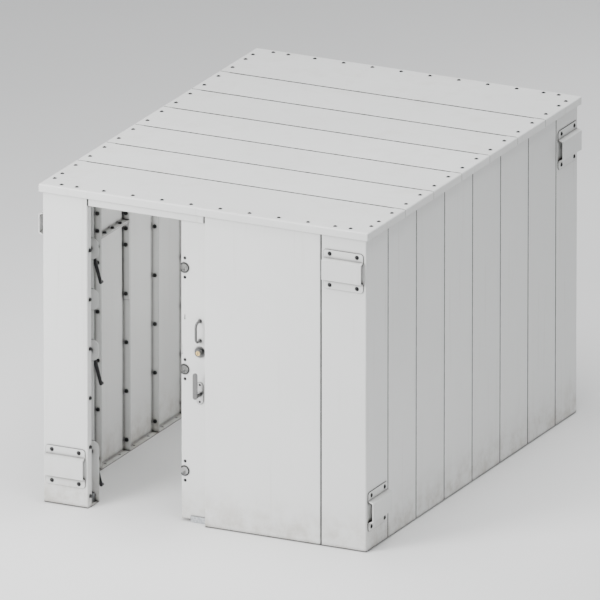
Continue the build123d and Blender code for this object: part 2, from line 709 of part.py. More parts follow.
def saddle_fasteners():
    """Bolts and nuts of every saddle bracket. Two of the bolts hold the jamb channel too."""
    grip = SADDLE_SHEET + SHEET
    plain = Rot(90, 0, 0) * button_bolt(SADDLE_HEAD, grip)
    long = Rot(90, 0, 0) * button_bolt(SADDLE_HEAD, grip + JAMB_SHEET)
    nut = Rot(0, 0, 90) * hex_nut()
    bolts, nuts = [], []
    for place in saddle_places(True) + saddle_places(False):
        for x, z in saddle_bolts():
            spot = (place * Pos(x, 0, z)).position
            holds_jamb = spot.Y < FRONT + 1 and JAMB_LEFT < spot.X < JAMB_RIGHT
            reach = SHEET + JAMB_SHEET if holds_jamb else SHEET
            bolts.append(place * Pos(x, -SADDLE_SHEET, z) * (long if holds_jamb else plain))
            nuts.append(place * Pos(x, reach, z) * nut)
    return bolts, nuts


# ================================================================ seals and splice strips
def seam_seals():
    """Seal strip in every seam of the walls and the roof."""
    top = WALL_HEIGHT - SEAL_END
    strips = []

    def upright(frame, x, z0, z1):
        strips.append(frame * block(x - SEAM / 2, x + SEAM / 2, SEAL_FROM, SEAL_TO, z0, z1))

    for side in ("right", "rear", "left"):
        for x in seams(side):
            upright(wall(side), x, SEAL_END, top)
    upright(wall("front"), COVER_RIGHT, SEAL_END, top)
    for x in (DOORWAY_LEFT, COVER_LEFT):
        upright(wall("front"), x, WALL_HEIGHT - HEADER_HEIGHT + SEAL_END, top)
    middle = bays("left")[SIDE_BAYS - SPLIT_BAY]
    half = MODULE / 2 - SEAM
    level = SPLIT_LEVEL
    gap = SEAM / 2
    lying = block(middle - half, middle + half, SEAL_FROM, SEAL_TO, level - gap, level + gap)
    strips.append(wall("left") * lying)
    reach = roof_width() / 2 - ROOF_FLAT_END
    low, high = ROOF_TOP - SEAL_TO, ROOF_TOP - SEAL_FROM
    for y in roof_seams():
        strips.append(block(-reach, reach, y - gap, y + gap, low, high))
    return strips


def splice_strips():
    """Strips that stiffen the rear seam of the split bay, above and below the split."""
    seam = seams("left")[split_seams()[0]]
    side = seam + SEAM / 2 + SHEET
    reach = SPLICE_THICKNESS
    spans = (
        (SPLICE_START, SPLIT_LEVEL - SEAM / 2 - 2 * SHEET),
        (SPLIT_LEVEL + SEAM / 2 + 2 * SHEET, WALL_HEIGHT - 2 * SHEET),
    )
    levels = [z for z in SEAM_LEVELS + split_levels() if z > SPLICE_START]
    holes = [
        rod_x(BOLT_HOLE, side - 1, side + reach + 1, SEAM_BOLT_DEPTH, z) for z in levels
    ]
    return [
        wall("left") * (block(side, side + reach, 2 * SHEET, FLANGE, low, high) - holes)
        for low, high in spans
    ]


# ================================================================ jamb
def jamb_channel():
    """Channel that the shut door's edge runs into, with its foot plate."""
    y0 = FRONT + SHEET
    y1 = JAMB_BACK - JAMB_SHEET
    top = TRACK_BOTTOM
    channel = block(JAMB_LEFT, JAMB_WEB, y0, JAMB_BACK, SHEET, top)
    channel += block(JAMB_LEFT, JAMB_RIGHT, y0, y0 + JAMB_SHEET, SHEET, top)
    channel += block(JAMB_LEFT, JAMB_LEFT + JAMB_BACK_FLANGE, y1, JAMB_BACK, SHEET, top)
    foot = block(JAMB_LEFT, DOORWAY_LEFT, FRONT + FLANGE, JAMB_BACK, 0, SHEET)
    bend = block(JAMB_LEFT - 1, JAMB_RIGHT + 1, y0 - 1, FRONT + BEND, 0, BEND)
    bore = LATCH_SHAFT + 2 * RUN_CLEARANCE
    holes = [rod_y(bore, y1 - 1, JAMB_BACK + 1, LATCH_X, z) for z in LATCH_LEVELS]
    holes.append(rod_y(BOLT_HOLE, y1 - 1, JAMB_BACK + 1, LATCH_X, KEYHOLE_LEVEL))
    for x, z in saddle_bolts():
        bolt_x = SADDLE_FROM_CORNER - HALF_WIDTH + x
        holes.append(rod_y(BOLT_HOLE, y0 - 1, y0 + JAMB_SHEET + 1, bolt_x, SADDLE_LOWER + z))
    anchor_x, anchor_y = JAMB_WEB + JAMB_ANCHOR[0], FRONT + FLANGE + JAMB_ANCHOR[1]
    holes.append(rod_z(ANCHOR_HOLE, -1, SHEET + 1, anchor_x, anchor_y))
    holes.append(deadbolt_way(JAMB_LEFT - 1, JAMB_WEB + 1, STRIKE_GAP))
    return channel + foot - holes - bend


def latch_plates():
    """Bearing plates of the latch shafts, on the channel's back flange."""
    y1 = JAMB_BACK - JAMB_SHEET
    y0 = y1 - PLATE_THICKNESS
    centre = max(LATCH_X, JAMB_WEB + PLATE_WIDTH / 2)
    plates = []
    for z in LATCH_LEVELS + (KEYHOLE_LEVEL,):
        plate = obround_y(PLATE_WIDTH, PLATE_HEIGHT, y0, y1, centre, z)
        if z == LATCH_LOW:
            half = PLATE_WIDTH / 2
            plate += block(centre - half, centre + half, y0, y1, SHEET, z)
        bore = BOLT_HOLE if z == KEYHOLE_LEVEL else LATCH_SHAFT + 2 * RUN_CLEARANCE
        plate -= block(JAMB_WEB - PLATE_WIDTH, JAMB_WEB, y0 - 1, y1 + 1, 0, WALL_HEIGHT)
        plates.append(plate - rod_y(bore, y0 - 1, y1 + 1, LATCH_X, z))
    return plates


def latch_lever(z):
    """One latch at rest: tongue and shaft, and the arm that hangs inside."""
    tip = DOOR_FACE - RUN_CLEARANCE
    tongue_end = DOOR_BACK - TONGUE_SHORT
    collar_end = JAMB_BACK - JAMB_SHEET - PLATE_THICKNESS - SIDE_GAP
    arm_front = JAMB_BACK + LATCH_ARM_GAP
    arm_back = arm_front + LATCH_ARM_THICKNESS
    hub_front, hub_back = arm_front - SIDE_GAP, arm_back + LATCH_HUB_END
    outline = Rot(90, 0, 0) * SlotOverall(TONGUE_LENGTH, TONGUE_WIDTH)
    tongue = Pos(LATCH_X, tongue_end, z) * extrude(outline, tongue_end - tip, dir=(0, -1, 0))
    tongue += rod_y(LATCH_SHAFT, tongue_end, hub_back, LATCH_X, z)
    tongue += rod_y(LATCH_COLLAR, tongue_end, collar_end, LATCH_X, z)
    ends = Circle(LATCH_ARM_ROOT / 2) + Pos(0, -LATCH_ARM) * Circle(LATCH_ARM_TIP / 2)
    arm = extrude(Plane.XZ * make_hull(ends.edges()), LATCH_ARM_THICKNESS, dir=(0, 1, 0))
    arm = Pos(0, arm_front, 0) * arm + rod_y(LATCH_HUB, hub_front, hub_back, 0, 0)
    arm += rod_y(LATCH_ARM_TIP, arm_front, arm_back + LATCH_KNOB, 0, -LATCH_ARM)
    arm = Pos(LATCH_X, 0, z) * Rot(0, -LATCH_ARM_TILT, 0) * arm
    return [tongue, arm - rod_y(LATCH_SHAFT, hub_front - 1, hub_back + 1, LATCH_X, z)]


# ================================================================ sliding door
def strike_cut(x, y0, y1, bore):
    """Latch opening in the door's leading edge, at z = 0: a bore, a neck and a mouth."""
    centre = x + LATCH_FROM_EDGE
    neck = math.sqrt((bore / 2) ** 2 - (STRIKE_NECK / 2) ** 2)
    points = [
        (-LATCH_FROM_EDGE - 1, -STRIKE_MOUTH / 2),
        (-neck, -STRIKE_NECK / 2),
        (0, -STRIKE_NECK / 2),
        (0, STRIKE_NECK / 2),
        (-neck, STRIKE_NECK / 2),
        (-LATCH_FROM_EDGE - 1, STRIKE_MOUTH / 2),
    ]
    mouth = extrude(Plane.XZ * make_face(Polyline(*points, close=True)), y1 - y0, dir=(0, 1, 0))
    return [Pos(centre, y0, 0) * mouth, rod_y(bore, y0, y1, centre, 0)]


def door_panel():
    """Door pan, open to the inside, with its latch openings."""
    height = DOOR_TOP - DOOR_BOTTOM
    sheet = pan(DOOR_WIDTH, height, DOOR_DEPTH)
    door = Pos(DOOR_EDGE + DOOR_WIDTH / 2, DOOR_FACE, DOOR_BOTTOM) * sheet
    x = DOOR_EDGE + STRIKE_BOLT_FROM_EDGE
    face = (DOOR_FACE - 1, DOOR_FACE + 2 * SHEET)
    cuts = []
    for z in LATCH_LEVELS:
        cuts += [
            Pos(0, 0, z) * cut
            for cut in strike_cut(DOOR_EDGE, DOOR_FACE - 1, DOOR_BACK + 1, STRIKE_BORE)
        ]
        for spread in (-STRIKE_BOLT_SPREAD, STRIKE_BOLT_SPREAD):
            cuts.append(rod_y(SMALL_SCREW, *face, x, z + spread))
    cuts.append(rod_y(KEYHOLE_DIAMETER, *face, x, KEYHOLE_LEVEL))
    stem = KEYHOLE_DIAMETER / 4
    cuts.append(block(x - stem, x + stem, *face, KEYHOLE_LEVEL, KEYHOLE_LEVEL + KEYHOLE_STEM))
    half = EDGE_NOTCH_HEIGHT / 2
    cuts.append(
        block(
            DOOR_EDGE - 1,
            DOOR_EDGE + EDGE_NOTCH_WIDTH,
            DOOR_FACE - 1,
            DOOR_FACE + SHEET,
            LOCK_LEVEL - half,
            LOCK_LEVEL + half,
        )
    )
    cuts.append(deadbolt_way(DOOR_EDGE - 1, DOOR_EDGE + 2 * SHEET, 1.0))
    cuts.append(rod_y(PLUG + 2, *face, FURNITURE_X, LOCK_LEVEL))
    cuts.append(rod_y(SPINDLE + 2, *face, FURNITURE_X, LEVER_LEVEL))
    for x, y in trolley_screw_places():
        cuts.append(rod_z(SMALL_SCREW, DOOR_TOP - SHEET - 1, DOOR_TOP + 1, x, y))
    return door - cuts


def deadbolt_way(x0, x1, gap):
    """Passage of the deadbolt through anything between two places along X."""
    half_y = DEADBOLT_THICKNESS / 2 + gap
    half_z = DEADBOLT_HEIGHT / 2 + gap
    return block(
        x0, x1, DOOR_MID - half_y, DOOR_MID + half_y, LOCK_LEVEL - half_z, LOCK_LEVEL + half_z
    )


def strike_rings():
    """Ring in front of the door sheet and backing plate behind it, at each latch."""
    centre = DOOR_EDGE + LATCH_FROM_EDGE
    front = DOOR_FACE - STRIKE_PROUD
    reach = STRIKE_OUTER
    ring = rod_y(STRIKE_OUTER, front, DOOR_FACE, centre, 0)
    ring -= block(centre - reach, DOOR_EDGE, front - 1, DOOR_FACE + 1, -reach, reach)
    ring -= strike_cut(DOOR_EDGE, front - 1, DOOR_FACE + 1, STRIKE_BORE)
    y0 = DOOR_FACE + SHEET
    y1 = y0 + STRIKE_BACKING
    half = STRIKE_BACKING_HEIGHT / 2
    x0 = DOOR_EDGE + BEND
    plate = block(x0, x0 + STRIKE_BACKING_WIDTH, y0, y1, -half, half)
    cuts = strike_cut(DOOR_EDGE, y0 - 1, y1 + 1, STRIKE_BORE)
    for z in (-STRIKE_BOLT_SPREAD, STRIKE_BOLT_SPREAD):
        cuts.append(rod_y(SMALL_SCREW, y0 - 1, y1 + 1, DOOR_EDGE + STRIKE_BOLT_FROM_EDGE, z))
    plate -= cuts
    return [Pos(0, 0, z) * piece for z in LATCH_LEVELS for piece in (ring, plate)]


def small_screw(head, length):
    """Domed screw along +Y: its head stands out along -Y from y = 0."""
    rise = head * SMALL_DOME
    radius = ((head / 2) ** 2 + rise**2) / (2 * rise)
    dome = Pos(0, 0, rise - radius) * Sphere(radius)
    dome = dome & Cylinder(head / 2, rise, align=(MID, MID, LOW))
    shank = Cylinder(SMALL_SCREW / 2, length, align=(MID, MID, HIGH))
    return Rot(90, 0, 0) * (dome + shank)


def door_screws():
    """Screws of the strike plates and of the lever's escutcheon."""
    screws = []
    x = DOOR_EDGE + STRIKE_BOLT_FROM_EDGE
    screw = small_screw(STRIKE_BOLT_HEAD, SHEET + STRIKE_BACKING + THREAD_END)
    for z in LATCH_LEVELS:
        for spread in (-STRIKE_BOLT_SPREAD, STRIKE_BOLT_SPREAD):
            screws.append(Pos(x, DOOR_FACE, z + spread) * screw)
    face = DOOR_FACE - ESCUTCHEON_THICKNESS
    screw = small_screw(ESCUTCHEON_SCREW_HEAD, ESCUTCHEON_THICKNESS)
    for spread in (-ESCUTCHEON_SCREWS, ESCUTCHEON_SCREWS):
        screws.append(Pos(FURNITURE_X, face, ESCUTCHEON_LEVEL + spread) * screw)
    return screws


def pull_handle():
    """Bent round bar with a foot at each end."""
    out = DOOR_FACE - PULL_STANDOFF + PULL_BAR / 2
    high = PULL_LOW + PULL_SPAN
    points = [
        (FURNITURE_X, DOOR_FACE, PULL_LOW),
        (FURNITURE_X, out, PULL_LOW),
        (FURNITURE_X, out, high),
        (FURNITURE_X, DOOR_FACE, high),
    ]
    path = FilletPolyline(*points, radius=2 * PULL_BAR)
    section = Plane(origin=points[0], z_dir=(0, -1, 0)) * Circle(PULL_BAR / 2)
    bar = sweep(section, path)
    for z in (PULL_LOW, high):
        bar += rod_y(PULL_FOOT, DOOR_FACE - PULL_FOOT_HEIGHT, DOOR_FACE, FURNITURE_X, z)
    return bar


def lock_cases():
    """Case of the deadbolt and case of the lever's spindle, inside the door pan."""
    x0 = DOOR_EDGE + BEND
    y0 = DOOR_FACE + SHEET
    y1 = y0 + CASE_DEPTH
    low, high = LOCK_LEVEL - CASE_HEIGHT / 2, LOCK_LEVEL + CASE_HEIGHT / 2
    dead = block(x0, DOOR_EDGE + CASE_END, y0, y1, low, high)
    dead -= deadbolt_way(x0 - 1, x0 + DEADBOLT_LENGTH + DEADBOLT_BACK, RUN_CLEARANCE)
    dead -= rod_y(PLUG + 2 * RUN_CLEARANCE, y0 - 1, y1 + 1, FURNITURE_X, LOCK_LEVEL)
    width, below, above = LEVER_CASE
    left, right = FURNITURE_X - width / 2, FURNITURE_X + width / 2
    lever = block(left, right, y0, y1, LEVER_LEVEL - below, LEVER_LEVEL + above)
    lever -= rod_y(SPINDLE + 2 * RUN_CLEARANCE, y0 - 1, y1 + 1, FURNITURE_X, LEVER_LEVEL)
    return [dead, lever]


def lock_rose():
    """Round plate and tapered collar round the key plug."""
    plate = rod_y(ROSE, DOOR_FACE - ROSE_THICKNESS, DOOR_FACE, FURNITURE_X, LOCK_LEVEL)
    rise = COLLAR_HEIGHT - ROSE_THICKNESS
    cone = Cone(COLLAR / 2, COLLAR_END / 2, rise, align=(MID, MID, LOW))
    cone = Pos(FURNITURE_X, DOOR_FACE - ROSE_THICKNESS, LOCK_LEVEL) * Rot(90, 0, 0) * cone
    bore = PLUG + 2 * RUN_CLEARANCE
    y0 = DOOR_FACE - COLLAR_HEIGHT - 1
    return plate + cone - rod_y(bore, y0, DOOR_FACE + 1, FURNITURE_X, LOCK_LEVEL)


def key_plug():
    """Round plug with a key slot, from the collar to the middle of the case."""
    front = DOOR_FACE - COLLAR_HEIGHT + PLUG_RECESS
    plug = rod_y(PLUG, front, DOOR_MID - RUN_CLEARANCE, FURNITURE_X, LOCK_LEVEL)
    width, height, depth = KEY_SLOT
    slot = Box(width, depth + 1, height, align=(MID, LOW, MID))
    return plug - Pos(FURNITURE_X, front - 1, LOCK_LEVEL) * slot


def thumbturn():
    """Inside turn piece with its stub in the case."""
    near = DOOR_FACE + SHEET + CASE_DEPTH + SIDE_GAP
    far = near + THUMBTURN_DISC
    stub = rod_y(PLUG, DOOR_MID + RUN_CLEARANCE, near, FURNITURE_X, LOCK_LEVEL)
    disc = rod_y(COLLAR, near, far, FURNITURE_X, LOCK_LEVEL)
    blade = Box(*THUMBTURN_BLADE, align=(MID, LOW, MID))
    blade = fillet(blade.edges().filter_by(Axis.Z), THUMBTURN_EDGE)
    return stub + disc + Pos(FURNITURE_X, far, LOCK_LEVEL) * blade


def deadbolt():
    """Sliding bolt at its drawn-back place."""
    x0 = DOOR_EDGE + SIDE_GAP
    bolt = deadbolt_way(x0, x0 + DEADBOLT_LENGTH, 0)
    return chamfer(edges_on(bolt, "X", x0), DEADBOLT_CHAMFER)


def lever_escutcheon():
    """Plate with round ends under the outside lever."""
    y0 = DOOR_FACE - ESCUTCHEON_THICKNESS
    plate = obround_y(
        ESCUTCHEON_WIDTH, ESCUTCHEON_HEIGHT, y0, DOOR_FACE, FURNITURE_X, ESCUTCHEON_LEVEL
    )
    plate -= rod_y(SPINDLE + 2 * RUN_CLEARANCE, y0 - 1, DOOR_FACE + 1, FURNITURE_X, LEVER_LEVEL)
    for spread in (-ESCUTCHEON_SCREWS, ESCUTCHEON_SCREWS):
        plate -= rod_y(SMALL_SCREW, y0 - 1, DOOR_FACE + 1, FURNITURE_X, ESCUTCHEON_LEVEL + spread)
    return plate


def lever_handles():
    """Outside lever with the spindle, and the inside lever on the spindle's end."""
    out = DOOR_FACE - LEVER_STANDOFF
    plate = DOOR_FACE - ESCUTCHEON_THICKNESS - RUN_CLEARANCE
    back = DOOR_FACE + SHEET + CASE_DEPTH
    near = back + LEVER_INSIDE
    far = near + LEVER_THICKNESS
    x, z = FURNITURE_X, LEVER_LEVEL
    middle = z + (LEVER_LENGTH - LEVER_WIDTH) / 2
    outside = obround_y(LEVER_WIDTH, LEVER_LENGTH, out - LEVER_THICKNESS, out, x, middle)
    outside += rod_y(LEVER_BOSS, out, plate, x, z) + rod_y(SPINDLE, out, far, x, z)
    inside = obround_y(LEVER_WIDTH, LEVER_LENGTH, near, far, x, middle)
    inside += rod_y(LEVER_BOSS, back + SIDE_GAP, near, x, z)
    return [outside, inside - rod_y(SPINDLE, back, far + 1, x, z)]


# ================================================================ track, trolleys and guides
def track_span():
    """Left and right end of the door track."""
    return DOORWAY_LEFT - TRACK_LEFT, COVER_RIGHT


def door_track():
    """C-section track with a slot along its underside, and a stop block at each end."""
    x0, x1 = track_span()
    half = TRACK_WIDTH / 2
    y0, y1 = TRACK_MID - half, TRACK_MID + half
    track = block(x0, x1, y0, y1, TRACK_BOTTOM, TRACK_TOP)
    sheet = TRACK_SHEET
    track -= block(x0 - 1, x1 + 1, y0 + sheet, y1 - sheet, TRACK_BOTTOM + sheet, TRACK_TOP - sheet)
    slot0, slot1 = TRACK_MID - TRACK_SLOT / 2, TRACK_MID + TRACK_SLOT / 2
    track -= block(x0 - 1, x1 + 1, slot0, slot1, TRACK_BOTTOM - 1, TRACK_BOTTOM + sheet + 1)
    stops = [
        block(x, x + TRACK_STOP, y0 + sheet, y1 - sheet, TRACK_BOTTOM + sheet, TRACK_TOP - sheet)
        for x in (x0, x1 - TRACK_STOP)
    ]
    return [track] + stops


def track_hangers():
    """Plates that hang the track from the front wall's top flange."""
    y0 = FRONT + 2 * SHEET + HANGER_GAP
    y1 = TRACK_MID + TRACK_WIDTH / 2
    half = HANGER_WIDTH / 2
    top = TRACK_TOP + HANGER_THICKNESS
    plate = block(-half, half, y0, y1, TRACK_TOP, top)
    plate -= rod_z(BOLT_HOLE, TRACK_TOP - 1, top + 1, 0, FRONT + EDGE_BOLT_DEPTH)
    return [Pos(x, 0, 0) * plate for x in hanger_places()]


def trolley_places():
    """Places of the two trolleys along the door."""
    return DOOR_EDGE + TROLLEY_FROM_END, DOOR_EDGE + DOOR_WIDTH - TROLLEY_FROM_END


def trolley_screw_places():
    """Places in X and Y of the screws that hold the trolleys' feet."""
    spreads = (-TROLLEY_LENGTH / 3, TROLLEY_LENGTH / 3)
    return [(x + spread, DOOR_MID + TROLLEY_SCREW) for x in trolley_places() for spread in spreads]


def trolley_bracket(x):
    """Angle that carries the door from one wheel set."""
    y0, y1 = TRACK_MID - TROLLEY_PLATE / 2, TRACK_MID + TROLLEY_PLATE / 2
    left, right = x - TROLLEY_LENGTH / 2, x + TROLLEY_LENGTH / 2
    half = TROLLEY_HEAD / 2
    foot_top = DOOR_TOP + TROLLEY_PLATE
    bracket = block(left, right, y0, y1, DOOR_TOP, TRACK_BOTTOM + TRACK_SHEET + TROLLEY_STEP)
    bracket += block(x - half, x + half, y0, y1, DOOR_TOP, AXLE_LEVEL + WHEEL / 2 - TROLLEY_STEP)
    bracket += block(left, right, y0, TRACK_MID + TROLLEY_FOOT, DOOR_TOP, foot_top)
    bracket -= rod_y(AXLE + 2 * AXLE_PLAY, y0 - 1, y1 + 1, x, AXLE_LEVEL)
    for screw_x, screw_y in trolley_screw_places():
        bracket -= rod_z(SMALL_SCREW, DOOR_TOP - 1, foot_top + 1, screw_x, screw_y)
    return bracket


def wheel_set(x):
    """Two grooveless wheels on one axle."""
    wheels = rod_y(AXLE, TRACK_MID - AXLE_LENGTH / 2, TRACK_MID + AXLE_LENGTH / 2, x, AXLE_LEVEL)
    for side in (-1, 1):
        centre = TRACK_MID + side * WHEEL_OFFSET
        y0, y1 = centre - WHEEL_WIDTH / 2, centre + WHEEL_WIDTH / 2
        wheel = rod_y(WHEEL, y0, y1, x, AXLE_LEVEL)
        for turn in range(WHEEL_HOLES):
            angle = 2 * math.pi * turn / WHEEL_HOLES
            dx = WHEEL_HOLE_CIRCLE / 2 * math.cos(angle)
            dz = WHEEL_HOLE_CIRCLE / 2 * math.sin(angle)
            wheel -= rod_y(WHEEL_HOLE, y0 - 1, y1 + 1, x + dx, AXLE_LEVEL + dz)
        wheels += wheel
    return wheels


def trolley_screws():
    """Screws through the trolley feet into the door's top flange."""
    screw = small_screw(TROLLEY_SCREW_HEAD, TROLLEY_PLATE + SHEET + THREAD_END)
    screw = Pos(0, 0, DOOR_TOP + TROLLEY_PLATE) * Rot(-90, 0, 0) * screw
    return [Pos(x, y, 0) * screw for x, y in trolley_screw_places()]


def floor_guides():
    """U-shaped guide under the door, and the guide block at the jamb's foot."""
    x0, x1 = COVER_LEFT - GUIDE_LENGTH_LEFT, COVER_LEFT + GUIDE_LENGTH_RIGHT
    inner0, inner1 = DOOR_FACE - GUIDE_GAP, DOOR_BACK + GUIDE_GAP
    outer0, outer1 = inner0 - GUIDE_SHEET, inner1 + GUIDE_SHEET
    guide = block(x0, x1, outer0, outer1, 0, GUIDE_UPSTAND)
    guide -= block(x0 - 1, x1 + 1, inner0, inner1, GUIDE_SHEET, GUIDE_UPSTAND + 1)
    for x in (x0 + GUIDE_BOLT_FROM_END, x1 - GUIDE_BOLT_FROM_END):
        guide -= rod_z(BOLT_HOLE, -1, GUIDE_SHEET + 1, x, DOOR_MID)
    length, height = GUIDE_BLOCK
    left = LATCH_X - SIDE_GAP
    back = JAMB_BACK - JAMB_SHEET - PLATE_THICKNESS
    stop = block(left, left + length, DOOR_BACK + GUIDE_GAP, back, SHEET, SHEET + height)
    return [guide, stop]


# ================================================================ build and write
def write(name, shape):
    """Write one node."""
    group = Compound(shape) if isinstance(shape, list) else shape
    export_step(group, f"parts/{name}.step")


def solids_of(shapes):
    """Flat list of the solids in some shapes."""
    return [solid for shape in shapes for solid in shape.solids()]


def main():
    os.makedirs("parts", exist_ok=True)
    corner = corner_panel()
    for name, place in CORNERS.items():
        write(f"corner_panel_{name}", place * corner)
    plain = wall_panel()
    for side in ("right", "rear"):
        for number, x in enumerate(bays(side), 1):
            write(f"{side}_wall_panel_{number}", wall(side) * Pos(x, 0, 0) * plain)
    places = bays("left")[::-1]
    extra = seam_holes(MODULE - SEAM, split_levels())
    for number, x in enumerate(places, 1):
        frame = wall("left") * Pos(x, 0, 0)
        if number == SPLIT_BAY:
            write("left_wall_split_panel_low", frame * split_panel_low())
            high = Pos(0, 0, SPLIT_LEVEL + SEAM / 2) * split_panel_high()
            write("left_wall_split_panel_high", frame * high)
        elif abs(number - SPLIT_BAY) == 1:
            cuts = extra[0::2] if number < SPLIT_BAY else extra[1::2]
            write(f"left_wall_panel_{number}", frame * (plain - cuts))
        else:
            write(f"left_wall_panel_{number}", frame * plain)
    cover_x = (COVER_LEFT + COVER_RIGHT) / 2
    write("front_cover_panel", Pos(cover_x, FRONT, 0) * cover_panel())
    header_x = (DOORWAY_LEFT + COVER_LEFT) / 2
    write("door_header_panel", Pos(header_x, FRONT, WALL_HEIGHT - HEADER_HEIGHT) * header_panel())

    edges = roof_seams()
    end = HALF_LENGTH + ROOF_OVERHANG
    gap = SEAM / 2
    write("roof_panel_1", roof_panel(-end, edges[0] - gap, front_lip=True))
    for number, (y0, y1) in enumerate(zip(edges, edges[1:]), 2):
        write(f"roof_panel_{number}", roof_panel(y0 + gap, y1 - gap))
    write(f"roof_panel_{len(edges) + 1}", roof_panel(edges[-1] + gap, end, rear_lip=True))

    hat = saddle()
    write("upper_saddle_brackets", [place * hat for place in saddle_places(True)])
    write("lower_saddle_brackets", [place * hat for place in saddle_places(False)])
    seam_bolts, nuts = seam_fasteners()
    roof_bolts, more = roof_fasteners()
    nuts += more
    saddle_screws, more = saddle_fasteners()
    nuts += more
    write("seam_bolts", solids_of(seam_bolts))
    write("roof_bolts", solids_of(roof_bolts))
    write("saddle_bolts", solids_of(saddle_screws))
    write("hex_nuts", solids_of(nuts))
    write("seam_seals", solids_of(seam_seals()))
    write("splice_strips", solids_of(splice_strips()))

    write("jamb_channel", jamb_channel())
    write("latch_plates", solids_of(latch_plates()))
    for name, z in zip(("low", "middle", "high"), LATCH_LEVELS):
        write(f"latch_lever_{name}", solids_of(latch_lever(z)))
    write("door_panel", door_panel())
    write("strike_rings", solids_of(strike_rings()))
    write("door_screws", solids_of(door_screws() + trolley_screws()))
    write("pull_handle", pull_handle())
    write("lock_cases", solids_of(lock_cases()))
    write("lock_rose", lock_rose())
    write("key_plug", key_plug())
    write("thumbturn", thumbturn())
    write("deadbolt", deadbolt())
    write("lever_escutcheon", lever_escutcheon())
    write("lever_handles", solids_of(lever_handles()))
    write("door_track", solids_of(door_track()))
    write("track_hangers", solids_of(track_hangers()))
    lead, trail = trolley_places()
    write("trolley_brackets", solids_of([trolley_bracket(lead), trolley_bracket(trail)]))
    write("leading_wheel_set", wheel_set(lead))
    write("trailing_wheel_set", wheel_set(trail))
    write("floor_guides", solids_of(floor_guides()))


main()
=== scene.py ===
"""Looks of the walk-in panel container.

Materials, welds, door stiffeners, rubber buttons, sealant, floor, light and camera.
"""

import math

import bpy
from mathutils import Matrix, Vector


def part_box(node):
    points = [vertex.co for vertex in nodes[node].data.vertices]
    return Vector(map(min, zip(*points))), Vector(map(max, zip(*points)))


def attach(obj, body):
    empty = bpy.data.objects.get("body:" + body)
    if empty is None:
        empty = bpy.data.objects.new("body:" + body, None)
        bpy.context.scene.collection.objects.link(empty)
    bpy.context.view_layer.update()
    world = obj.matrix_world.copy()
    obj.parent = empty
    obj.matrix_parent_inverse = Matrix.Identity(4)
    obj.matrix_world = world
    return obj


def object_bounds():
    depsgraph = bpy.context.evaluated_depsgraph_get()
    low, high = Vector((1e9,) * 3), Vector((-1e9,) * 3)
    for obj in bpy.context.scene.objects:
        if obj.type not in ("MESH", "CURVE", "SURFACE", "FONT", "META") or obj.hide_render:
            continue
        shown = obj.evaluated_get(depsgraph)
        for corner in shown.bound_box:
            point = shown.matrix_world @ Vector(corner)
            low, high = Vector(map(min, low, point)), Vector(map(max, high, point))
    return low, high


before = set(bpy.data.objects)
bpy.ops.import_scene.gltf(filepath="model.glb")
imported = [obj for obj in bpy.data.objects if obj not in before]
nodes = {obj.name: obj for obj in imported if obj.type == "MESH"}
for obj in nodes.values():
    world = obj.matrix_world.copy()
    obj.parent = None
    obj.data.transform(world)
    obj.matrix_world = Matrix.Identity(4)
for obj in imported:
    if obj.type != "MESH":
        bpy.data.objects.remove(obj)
cad_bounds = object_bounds()

SHEET = 0.005
DOOR_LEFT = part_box("door_panel")[0].x
DOOR_FACE = -1.453  # door's front face
PULL_FEET = (1.187, 1.315)
FURNITURE_X = DOOR_LEFT + 0.131
JAMB_WEB = -0.880  # jamb web's face towards the door
JAMB_BACK = -1.360
JAMB_SHEET = 0.005
LATCH_PLATE = 0.005  # thickness of a latch plate
FLANGE_TIP = -0.833  # edge of the jamb's back flange
LATCH_PLATES = (0.328, 0.988, 1.648, 1.318)
STIFFENER_SPAN = (0.060, 1.940)
WALL_X, WALL_Y = 1.110, 1.510  # outer faces of the walls
MODULE = 0.400
SEAM = 0.003
SEALANT_SPAN = (0.010, 2.064)
HEADER_SEALANT = 1.978  # lower end of the sealant beside the header
ROOF_SEALANT_REACH = 1.119


